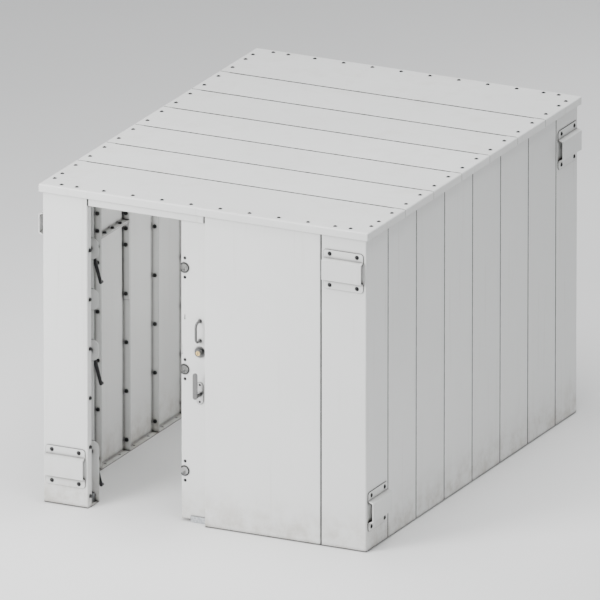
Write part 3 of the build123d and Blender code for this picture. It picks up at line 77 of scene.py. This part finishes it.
# ================================================================ shader helpers
class Shader:
    """A material's node tree with short calls for the nodes that the finishes use."""

    def __init__(self, name):
        self.material = bpy.data.materials.new(name)
        self.material.use_nodes = True
        self.tree = self.material.node_tree
        self.bsdf = self.tree.nodes["Principled BSDF"]
        self.coords = self.tree.nodes.new("ShaderNodeTexCoord").outputs["Object"]

    def link(self, value, socket):
        """Feeds a socket from another socket, or sets its constant."""
        if isinstance(value, bpy.types.NodeSocket):
            self.tree.links.new(value, socket)
        else:
            socket.default_value = value

    def stretched(self, stretch):
        """Object coordinates, scaled along each axis."""
        mapping = self.tree.nodes.new("ShaderNodeMapping")
        mapping.inputs["Scale"].default_value = stretch
        self.tree.links.new(self.coords, mapping.inputs["Vector"])
        return mapping.outputs["Vector"]

    def noise(self, scale, detail=3.0, rough=0.5, stretch=(1, 1, 1), twist=0.0):
        node = self.tree.nodes.new("ShaderNodeTexNoise")
        node.inputs["Scale"].default_value = scale
        node.inputs["Detail"].default_value = detail
        node.inputs["Roughness"].default_value = rough
        node.inputs["Distortion"].default_value = twist
        self.tree.links.new(self.stretched(stretch), node.inputs["Vector"])
        return node.outputs["Fac"]

    def cells(self, scale, stretch=(1, 1, 1), feature="F1", output="Distance"):
        node = self.tree.nodes.new("ShaderNodeTexVoronoi")
        node.feature = feature
        node.inputs["Scale"].default_value = scale
        self.tree.links.new(self.stretched(stretch), node.inputs["Vector"])
        return node.outputs[output]

    def height(self):
        """Height above the floor, in metres."""
        node = self.tree.nodes.new("ShaderNodeSeparateXYZ")
        self.tree.links.new(self.coords, node.inputs["Vector"])
        return node.outputs["Z"]

    def facing_up(self):
        """One on level upper faces and zero on upright ones."""
        geometry = self.tree.nodes.new("ShaderNodeNewGeometry")
        node = self.tree.nodes.new("ShaderNodeSeparateXYZ")
        self.tree.links.new(geometry.outputs["Normal"], node.inputs["Vector"])
        return self.ramp(node.outputs["Z"], 0.4, 0.9)

    def ramp(self, value, low, high, to_low=0.0, to_high=1.0):
        """Smooth change between two values of the input."""
        node = self.tree.nodes.new("ShaderNodeMapRange")
        node.interpolation_type = "SMOOTHSTEP"
        node.inputs["From Min"].default_value = low
        node.inputs["From Max"].default_value = high
        node.inputs["To Min"].default_value = to_low
        node.inputs["To Max"].default_value = to_high
        self.link(value, node.inputs["Value"])
        return node.outputs["Result"]

    def math(self, operation, a, b):
        node = self.tree.nodes.new("ShaderNodeMath")
        node.operation = operation
        self.link(a, node.inputs[0])
        self.link(b, node.inputs[1])
        return node.outputs["Value"]

    def times(self, a, b):
        return self.math("MULTIPLY", a, b)

    def plus(self, a, b):
        return self.math("ADD", a, b)

    def mix(self, factor, a, b):
        """Mix of two colours."""
        node = self.tree.nodes.new("ShaderNodeMix")
        node.data_type = "RGBA"
        self.link(factor, node.inputs["Factor"])
        for value, socket in ((a, node.inputs["A"]), (b, node.inputs["B"])):
            self.link((*value, 1.0) if isinstance(value, tuple) else value, socket)
        return node.outputs["Result"]

    def shade_mask(self, reach, low=0.15, high=0.85):
        """One deep in corners and gaps, zero in the open: the mask by which the finishes paint
        shade into their colour.
        """
        node = self.tree.nodes.new("ShaderNodeAmbientOcclusion")
        node.samples = 6
        node.inputs["Distance"].default_value = reach
        return self.ramp(node.outputs["AO"], low, high, 1.0, 0.0)

    def bump(self, height, strength, distance, under=None):
        node = self.tree.nodes.new("ShaderNodeBump")
        node.inputs["Strength"].default_value = strength
        node.inputs["Distance"].default_value = distance
        self.link(height, node.inputs["Height"])
        if under is not None:
            self.link(under, node.inputs["Normal"])
        return node.outputs["Normal"]

    def finish(self, color, roughness, normal=None, metallic=0.0, **constants):
        """Connects the surface and returns the material."""
        base = (*color, 1.0) if isinstance(color, tuple) else color
        self.link(base, self.bsdf.inputs["Base Color"])
        self.link(roughness, self.bsdf.inputs["Roughness"])
        self.link(metallic, self.bsdf.inputs["Metallic"])
        if normal is not None:
            self.link(normal, self.bsdf.inputs["Normal"])
        for name, value in constants.items():
            self.bsdf.inputs[name.replace("_", " ")].default_value = value
        return self.material


# ================================================================ materials
DUST = (0.36, 0.32, 0.26)
# Colour of the painted shade that the finishes mix into corners and gaps.
PAINTED_SHADE = (0.16, 0.15, 0.135)


def powder_coat(name, tone, worn=0.5):
    """Sheet steel under textured powder coat, with dust low down, streaks, scuffs and painted shade
    in corners and gaps.
    """
    s = Shader(name)
    base = tuple(channel * tone for channel in (0.77, 0.775, 0.765))
    cloud = s.ramp(s.noise(1.3, 4.0, 0.55), 0.30, 0.70)
    color = s.mix(cloud, tuple(c * 0.965 for c in base), base)
    streaks = s.ramp(s.noise(26.0, 3.0, 0.6, stretch=(1, 1, 0.035)), 0.56, 0.80)
    upright = s.math("SUBTRACT", 1.0, s.facing_up())
    color = s.mix(s.times(s.times(streaks, upright), 0.16), color, DUST)
    low = s.ramp(s.height(), 0.0, 0.42, 1.0, 0.0)
    patches = s.ramp(s.noise(9.0, 5.0, 0.65), 0.34, 0.72, 0.12, 1.0)
    dusty = s.times(s.times(s.times(low, low), patches), 0.55)
    color = s.mix(dusty, color, DUST)
    settled = s.times(s.facing_up(), s.ramp(s.noise(5.0, 6.0, 0.7), 0.45, 0.80))
    color = s.mix(s.times(settled, 0.22), color, DUST)
    # Painted shade: corners, gaps and seam grooves darkened, the narrowest ones to near black.
    color = s.mix(s.times(s.shade_mask(0.030, 0.50, 0.97), 0.75), color, PAINTED_SHADE)
    color = s.mix(s.shade_mask(0.016, 0.45, 0.93), color, (0.020, 0.019, 0.018))
    scratch = s.ramp(s.noise(16.0, 2.0, 0.5, stretch=(1.0, 1.0, 0.30), twist=1.6), 0.735, 0.765)
    spread = s.ramp(s.noise(2.1, 2.0, 0.5), 0.48, 0.66)
    scuffs = s.times(s.times(scratch, spread), worn)
    color = s.mix(s.times(scuffs, 0.6), color, (0.45, 0.45, 0.44))
    peel = s.noise(420.0, 1.5, 0.45)
    waves = s.noise(2.4, 1.0, 0.4)
    roughness = s.plus(s.ramp(s.noise(30.0, 3.0), 0.3, 0.7, 0.36, 0.46), s.times(dusty, 0.35))
    roughness = s.plus(roughness, s.times(settled, 0.18))
    normal = s.bump(waves, 0.35, 0.006)
    normal = s.bump(peel, 0.28, 0.0006, normal)
    normal = s.bump(scuffs, 0.25, -0.0004, normal)
    return s.finish(color, roughness, normal)


def zinc(name, tone=1.0):
    """Zinc plate with its crystal spangle."""
    s = Shader(name)
    grain = s.cells(120.0, output="Color")
    split = s.tree.nodes.new("ShaderNodeSeparateColor")
    s.tree.links.new(grain, split.inputs["Color"])
    light = tuple(c * tone for c in (0.66, 0.68, 0.70))
    dark = tuple(c * tone for c in (0.47, 0.49, 0.52))
    color = s.mix(s.ramp(split.outputs["Red"], 0.1, 0.9), dark, light)
    bloom = s.ramp(s.noise(40.0, 4.0, 0.6), 0.50, 0.75)
    color = s.mix(s.times(bloom, 0.35), color, (0.60, 0.60, 0.58))
    # Painted shade in corners and gaps.
    color = s.mix(s.times(s.shade_mask(0.012), 0.5), color, PAINTED_SHADE)
    roughness = s.plus(s.ramp(split.outputs["Green"], 0.0, 1.0, 0.28, 0.42), s.times(bloom, 0.2))
    normal = s.bump(s.noise(300.0, 2.0), 0.15, 0.0003)
    return s.finish(color, roughness, normal, metallic=0.92)


def brushed_steel(name, along="Z", tone=1.0):
    """Stainless steel brushed along one axis."""
    s = Shader(name)
    stretch = tuple(0.02 if axis == along else 1.0 for axis in "XYZ")
    lines = s.noise(900.0, 2.0, 0.6, stretch=stretch)
    dark = (0.40 * tone, 0.40 * tone, 0.40 * tone)
    light = (0.56 * tone, 0.56 * tone, 0.555 * tone)
    color = s.mix(s.ramp(lines, 0.3, 0.7), dark, light)
    smear = s.ramp(s.noise(34.0, 4.0, 0.6), 0.45, 0.75)
    # Painted shade: corners and gaps darkened to near black.
    color = s.mix(s.times(s.shade_mask(0.012, 0.35, 0.95), 0.85), color, (0.02, 0.02, 0.02))
    roughness = s.plus(s.ramp(lines, 0.3, 0.7, 0.20, 0.32), s.times(smear, 0.14))
    normal = s.bump(lines, 0.12, 0.0002)
    return s.finish(color, roughness, normal, metallic=1.0)


def black_oxide(name):
    """Blackened bolt steel, rubbed brighter in patches."""
    s = Shader(name)
    rubbed = s.ramp(s.noise(240.0, 4.0, 0.65), 0.56, 0.74)
    color = s.mix(s.times(rubbed, 0.55), (0.022, 0.022, 0.024), (0.16, 0.155, 0.15))
    dust = s.times(s.ramp(s.noise(90.0, 5.0, 0.7), 0.52, 0.80), 0.4)
    color = s.mix(dust, color, DUST)
    roughness = s.plus(s.ramp(rubbed, 0.0, 1.0, 0.46, 0.34), s.times(dust, 0.4))
    normal = s.bump(s.noise(500.0, 2.0), 0.2, 0.0003)
    return s.finish(color, roughness, normal, metallic=0.7)


def black_paint(name):
    """Semi-gloss black paint on the latch arms, chipped to primer here and there."""
    s = Shader(name)
    chips = s.ramp(s.noise(120.0, 5.0, 0.7), 0.66, 0.70)
    color = s.mix(s.times(chips, 0.85), (0.018, 0.018, 0.020), (0.24, 0.235, 0.23))
    color = s.mix(s.times(s.ramp(s.noise(20.0, 5.0, 0.6), 0.5, 0.8), 0.12), color, DUST)
    roughness = s.ramp(s.noise(60.0, 3.0), 0.3, 0.7, 0.28, 0.42)
    normal = s.bump(s.noise(380.0, 2.0), 0.15, 0.0004)
    normal = s.bump(chips, 0.5, -0.0003, normal)
    return s.finish(color, roughness, normal, Coat_Weight=0.25, Coat_Roughness=0.2)


def seal_rubber(name):
    """Black sponge rubber."""
    s = Shader(name)
    pores = s.cells(1400.0)
    dusty = s.ramp(s.noise(50.0, 4.0), 0.4, 0.8)
    color = s.mix(dusty, (0.012, 0.012, 0.012), (0.040, 0.038, 0.035))
    normal = s.bump(pores, 0.5, 0.0005)
    return s.finish(color, 0.78, normal)


def turned_brass(name):
    """Key plug of brass, turned on a lathe."""
    s = Shader(name)
    tarnish = s.ramp(s.noise(160.0, 4.0, 0.6), 0.4, 0.75)
    color = s.mix(tarnish, (0.70, 0.52, 0.24), (0.48, 0.34, 0.15))
    normal = s.bump(s.noise(900.0, 2.0), 0.15, 0.0002)
    return s.finish(color, s.ramp(tarnish, 0.0, 1.0, 0.22, 0.42), normal, metallic=1.0)


def weld_metal(name):
    """Weld bead under the powder coat: the same paint, thinner, with painted shade where it meets
    the metal.
    """
    s = Shader(name)
    color = s.mix(s.ramp(s.noise(80.0, 4.0), 0.35, 0.7), (0.60, 0.60, 0.59), (0.72, 0.73, 0.72))
    # Painted shade where the bead meets the metal and in other corners.
    color = s.mix(s.times(s.shade_mask(0.012), 0.6), color, PAINTED_SHADE)
    normal = s.bump(s.noise(260.0, 3.0), 0.3, 0.0006)
    return s.finish(color, 0.5, normal)


def floor_paint(name):
    """Pale studio floor."""
    s = Shader(name)
    color = s.mix(s.noise(0.7, 3.0), (0.88, 0.88, 0.875), (0.92, 0.92, 0.915))
    normal = s.bump(s.noise(60.0, 3.0), 0.05, 0.001)
    return s.finish(color, 0.62, normal)


COATS = [powder_coat(f"powder_coat_{i}", tone) for i, tone in enumerate((1.0, 0.975, 1.015, 0.985))]
SADDLE_COAT = powder_coat("saddle_coat", 0.93, worn=1.0)
DOOR_COAT = powder_coat("door_coat", 1.0, worn=1.0)
ZINC = zinc("zinc_plate")
TRACK_ZINC = zinc("track_zinc", 0.9)
BRUSHED_UP = brushed_steel("brushed_steel_upright", "Z")
BRUSHED_ACROSS = brushed_steel("brushed_steel_across", "X")
DARK_UP = brushed_steel("dark_steel_upright", "Z", 0.36)
DARK_ACROSS = brushed_steel("dark_steel_across", "X", 0.36)
STRIKE = brushed_steel("strike_steel", "X", 0.12)
BLACK_BOLT = black_oxide("black_oxide")
BLACK_PAINT = black_paint("black_paint")
RUBBER = seal_rubber("seal_rubber")
BRASS = turned_brass("turned_brass")
WELD = weld_metal("painted_weld")


# ================================================================ extra pieces
def piece(name, verts, faces, body, finish, slot):
    """One added mesh, moving with a CAD body."""
    mesh = bpy.data.meshes.new(name)
    mesh.from_pydata(verts, [], faces)
    mesh.materials.append(finish)
    mesh.update()
    obj = bpy.data.objects.new(name, mesh)
    bpy.context.scene.collection.objects.link(obj)
    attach(obj, body)
    return obj


def prism(profile, z0, z1):
    """Upright bar with a given outline in X and Y."""
    count = len(profile)
    verts = [(x, y, z) for z in (z0, z1) for x, y in profile]
    faces = [(i, (i + 1) % count, count + (i + 1) % count, count + i) for i in range(count)]
    faces += [tuple(range(count))[::-1], tuple(range(count, 2 * count))]
    return verts, faces


def skin(rings, sides, closed=False):
    """Faces over rings of vertices, with an end face on each end unless they form a loop."""
    faces = []
    for i in range(rings if closed else rings - 1):
        j = (i + 1) % rings
        for k in range(sides):
            n = (k + 1) % sides
            faces.append((i * sides + k, i * sides + n, j * sides + n, j * sides + k))
    if not closed:
        last = (rings - 1) * sides
        faces += [tuple(range(sides))[::-1], tuple(range(last, last + sides))]
    return faces


def bead(path, radius, closed=False):
    """Weld bead along a path: a rippled round bar half sunk in the metal, with tapered ends."""
    verts = []
    sides = 8
    count = len(path)
    for i, point in enumerate(path):
        after = path[(i + 1) % count] if closed else path[min(i + 1, count - 1)]
        before = path[i - 1] if closed else path[max(i - 1, 0)]
        along = (after - before).normalized()
        across = along.orthogonal() if abs(along.z) > 0.9 else along.cross(Vector((0, 0, 1)))
        across.normalize()
        up = along.cross(across)
        size = radius * (1.0 + 0.13 * math.sin(i * 2.1))
        if not closed and i in (0, count - 1):
            size *= 0.35
        for k in range(sides):
            angle = 2 * math.pi * k / sides
            verts.append(point + (across * math.cos(angle) + up * math.sin(angle)) * size)
    return verts, skin(count, sides, closed)


def straight(start, end, step=0.0016):
    """Points from start to end."""
    start, end = Vector(start), Vector(end)
    count = max(2, round((end - start).length / step))
    return [start.lerp(end, i / count) for i in range(count + 1)]


def ring_xz(x, y, z, radius, step=0.0012):
    """Points round a circle that stands up in X and Z."""
    count = round(2 * math.pi * radius / step)
    turns = [2 * math.pi * i / count for i in range(count)]
    return [Vector((x + radius * math.cos(t), y, z + radius * math.sin(t))) for t in turns]


def welds():
    """Weld beads of the jamb, its latch plates and the pull handle."""
    lines = []
    behind = JAMB_BACK - JAMB_SHEET
    before = behind - LATCH_PLATE
    for z in LATCH_PLATES:
        half = 0.026 if z == LATCH_PLATES[1] else 0.024
        lines.append(((JAMB_WEB, before, z - half), (JAMB_WEB, before, z + half)))
        for low, high in ((-0.056, -0.026), (0.026, 0.056)):
            lines.append(((FLANGE_TIP, behind, z + low), (FLANGE_TIP, behind, z + high)))
    for y0, y1 in ((-1.456, -1.430), (-1.400, -1.372)):
        lines.append(((JAMB_WEB, y0, SHEET), (JAMB_WEB, y1, SHEET)))
    for number, (start, end) in enumerate(lines, 1):
        name = f"jamb_weld_{number}"
        piece(name, *bead(straight(start, end), 0.0024), "enclosure", WELD, "powder_coat")
    for number, z in enumerate(PULL_FEET, 1):
        path = ring_xz(FURNITURE_X, DOOR_FACE - 0.0002, z, 0.0122)
        name = f"pull_foot_weld_{number}"
        piece(name, *bead(path, 0.0014, closed=True), "door", DARK_UP, "stainless")


def door_stiffeners():
    """Two hat-section ribs spot-welded inside the door pan."""
    y = DOOR_FACE + SHEET
    t, deep = 0.0015, 0.026
    half = [(0.030, t), (0.0165, t), (0.0135, deep)]
    inner = [(0.012, deep - t), (0.015, 0.0), (0.030, 0.0)]
    outline = [(-x, d) for x, d in half] + [(x, d) for x, d in half[::-1]]
    outline += [(x, d) for x, d in inner[::-1]] + [(-x, d) for x, d in inner]
    for number, offset in enumerate((0.335, 0.640), 1):
        x = DOOR_LEFT + offset
        verts, faces = prism([(x + dx, y + d) for dx, d in outline], *STIFFENER_SPAN)
        piece(f"door_stiffener_{number}", verts, faces, "door", DOOR_COAT, "powder_coat")


def jamb_bumpers():
    """Round rubber buttons on the jamb's web that the shut door's edge comes up against."""
    profile = [(0.0, 0.0120), (0.0022, 0.0120), (0.0038, 0.0112), (0.0047, 0.0092)]
    profile += [(0.0050, 0.0060)]
    sides = 28
    for number, z in enumerate((0.640, 1.480), 1):
        verts = []
        for out, radius in profile:
            for k in range(sides):
                angle = 2 * math.pi * k / sides
                y = -1.428 + radius * math.cos(angle)
                verts.append((JAMB_WEB + out, y, z + radius * math.sin(angle)))
        faces = skin(len(profile), sides)
        piece(f"jamb_bumper_{number}", verts, faces, "enclosure", RUBBER, "seal_rubber")


def sealant(name, start, end, inward, lateral, section):
    """Sealant run of a given section (across, deep), with a slightly uneven face."""
    start, end, inward, lateral = (Vector(v) for v in (start, end, inward, lateral))
    count = max(4, round((end - start).length / 0.025))
    size = len(section)
    verts = []
    for i in range(count + 1):
        centre = start.lerp(end, i / count)
        uneven = 0.00025 * math.sin(1.9 * i) + 0.0002 * math.sin(0.73 * i + 1.0)
        for k, (across, deep) in enumerate(section):
            shift = uneven if 0 < k < size - 1 else 0.0
            verts.append(centre + lateral * across + inward * (deep + shift))
    piece(name, verts, skin(count + 1, size), "enclosure", RUBBER, "seal_rubber")


def seam_sealant():
    """Dark sealant run in the groove of every wall seam and over every roof seam."""
    groove = ((-0.0022, 0.0062), (-0.0050, 0.0024), (0.0, 0.0029), (0.0050, 0.0024))
    groove += ((0.0022, 0.0062),)
    low, high = SEALANT_SPAN
    runs = []
    for i in range(7):
        y = (i - 3) * MODULE
        for side in (-1, 1):
            x = WALL_X * side
            runs.append(((x, y, low), (x, y, high), (-side, 0, 0), (0, 1, 0)))
    for i in range(5):
        x = (i - 2) * MODULE
        runs.append(((x, WALL_Y, low), (x, WALL_Y, high), (0, -1, 0), (1, 0, 0)))
    for x, bottom in ((0.8, low), (-0.8, HEADER_SEALANT), (0.0, HEADER_SEALANT)):
        runs.append(((x, -WALL_Y, bottom), (x, -WALL_Y, high), (0, 1, 0), (1, 0, 0)))
    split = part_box("left_wall_split_panel_low")[1].z + SEAM / 2
    runs.append(((-WALL_X, -0.790, split), (-WALL_X, -0.410, split), (1, 0, 0), (0, 0, 1)))
    for number, (start, end, inward, lateral) in enumerate(runs, 1):
        sealant(f"wall_sealant_{number}", start, end, inward, lateral, groove)
    smear = ((-0.0014, 0.0045), (-0.0045, 0.0), (-0.0030, -0.0007), (0.0, -0.0009))
    smear += ((0.0030, -0.0007), (0.0045, 0.0), (0.0014, 0.0045))
    panels = sorted(name for name in nodes if name.startswith("roof_panel"))
    boxes = [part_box(name) for name in panels]
    top = boxes[0][1].z
    reach = ROOF_SEALANT_REACH
    for number, (before, after) in enumerate(zip(boxes, boxes[1:]), 1):
        y = (before[1].y + after[0].y) / 2
        name = f"roof_sealant_{number}"
        sealant(name, (-reach, y, top), (reach, y, top), (0, 0, -1), (0, 1, 0), smear)


def coat_nodes():
    """Gives every CAD node its finish."""
    finishes = {
        "upper_saddle_brackets": SADDLE_COAT,
        "lower_saddle_brackets": SADDLE_COAT,
        "door_panel": DOOR_COAT,
        "jamb_channel": COATS[1],
        "splice_strips": COATS[1],
        "latch_plates": COATS[3],
        "strike_rings": STRIKE,
        "pull_handle": DARK_UP,
        "lock_cases": ZINC,
        "lock_rose": DARK_ACROSS,
        "lever_escutcheon": BRUSHED_UP,
        "lever_handles": DARK_UP,
        "thumbturn": BRUSHED_ACROSS,
        "deadbolt": BRUSHED_ACROSS,
        "key_plug": BRASS,
        "seam_seals": RUBBER,
        "roof_bolts": BLACK_BOLT,
        "saddle_bolts": BLACK_BOLT,
        "door_screws": BLACK_BOLT,
        "seam_bolts": BLACK_BOLT,
        "hex_nuts": ZINC,
        "door_track": TRACK_ZINC,
        "track_hangers": TRACK_ZINC,
        "trolley_brackets": ZINC,
        "floor_guides": TRACK_ZINC,
        "leading_wheel_set": ZINC,
        "trailing_wheel_set": ZINC,
    }
    for number, (name, node) in enumerate(sorted(nodes.items())):
        if name.startswith("latch_lever"):
            finish = BLACK_PAINT
        else:
            finish = finishes.get(name, COATS[(number * 7) % len(COATS)])
        node.data.materials.clear()
        node.data.materials.append(finish)


# ================================================================ studio
def studio():
    """Floor, world and lamps."""
    mesh = bpy.data.meshes.new("studio_floor")
    reach = 60.0
    corners = [(-reach, -reach, 0), (reach, -reach, 0), (reach, reach, 0), (-reach, reach, 0)]
    mesh.from_pydata(corners, [], [(0, 1, 2, 3)])
    floor = bpy.data.objects.new("studio_floor", mesh)
    floor.location.z = cad_bounds[0].z - 0.0005
    mesh.materials.append(floor_paint("floor_paint"))
    bpy.context.scene.collection.objects.link(floor)

    world = bpy.data.worlds.new("studio")
    bpy.context.scene.world = world
    world.use_nodes = True
    background = world.node_tree.nodes["Background"]
    background.inputs["Color"].default_value = (0.96, 0.98, 1.0, 1.0)
    background.inputs["Strength"].default_value = 0.52

    lamp("key", (-3.4, -7.4, 4.2), (-0.1, -1.0, 1.0), 3.4, 720)
    lamp("fill", (6.5, -1.6, 3.2), (0.8, 0.0, 1.0), 4.0, 14)
    lamp("top", (0.5, -1.5, 9.0), (0.0, 0.0, 1.5), 6.0, 900)
    lamp("rear", (1.5, 9.0, 4.2), (0.0, 0.5, 1.0), 3.5, 170)
    lamp("room", (0.35, -0.2, 1.35), (-0.9, 0.1, 0.9), 0.7, 16)


def lamp(name, place, target, size, watts):
    """Soft square lamp aimed at a point."""
    data = bpy.data.lights.new(name, "AREA")
    data.shape = "SQUARE"
    data.size = size
    data.energy = watts
    obj = bpy.data.objects.new(name, data)
    obj.location = place
    direction = Vector(target) - Vector(place)
    obj.rotation_euler = direction.to_track_quat("-Z", "Y").to_euler()
    bpy.context.scene.collection.objects.link(obj)


def camera():
    """Long lens from the front right, as near to a parallel view as other views allow."""
    azimuth, elevation = math.radians(26.0), math.radians(18.34)
    back = Vector(
        (
            math.sin(azimuth) * math.cos(elevation),
            -math.cos(azimuth) * math.cos(elevation),
            math.sin(elevation),
        )
    )
    target = Vector((0.337, -0.854, 1.331))
    data = bpy.data.cameras.new("camera")
    data.sensor_width = 36.0
    data.lens = 1500.0
    width_at_target = 3.7035
    distance = width_at_target * data.lens / data.sensor_width
    data.clip_start = 1.0
    data.clip_end = 2 * distance
    obj = bpy.data.objects.new("camera", data)
    obj.location = target + back * distance
    obj.rotation_mode = "QUATERNION"
    obj.rotation_quaternion = (-back).to_track_quat("-Z", "Y")
    bpy.context.scene.collection.objects.link(obj)
    bpy.context.scene.camera = obj


coat_nodes()
welds()
door_stiffeners()
jamb_bumpers()
seam_sealant()
studio()
camera()
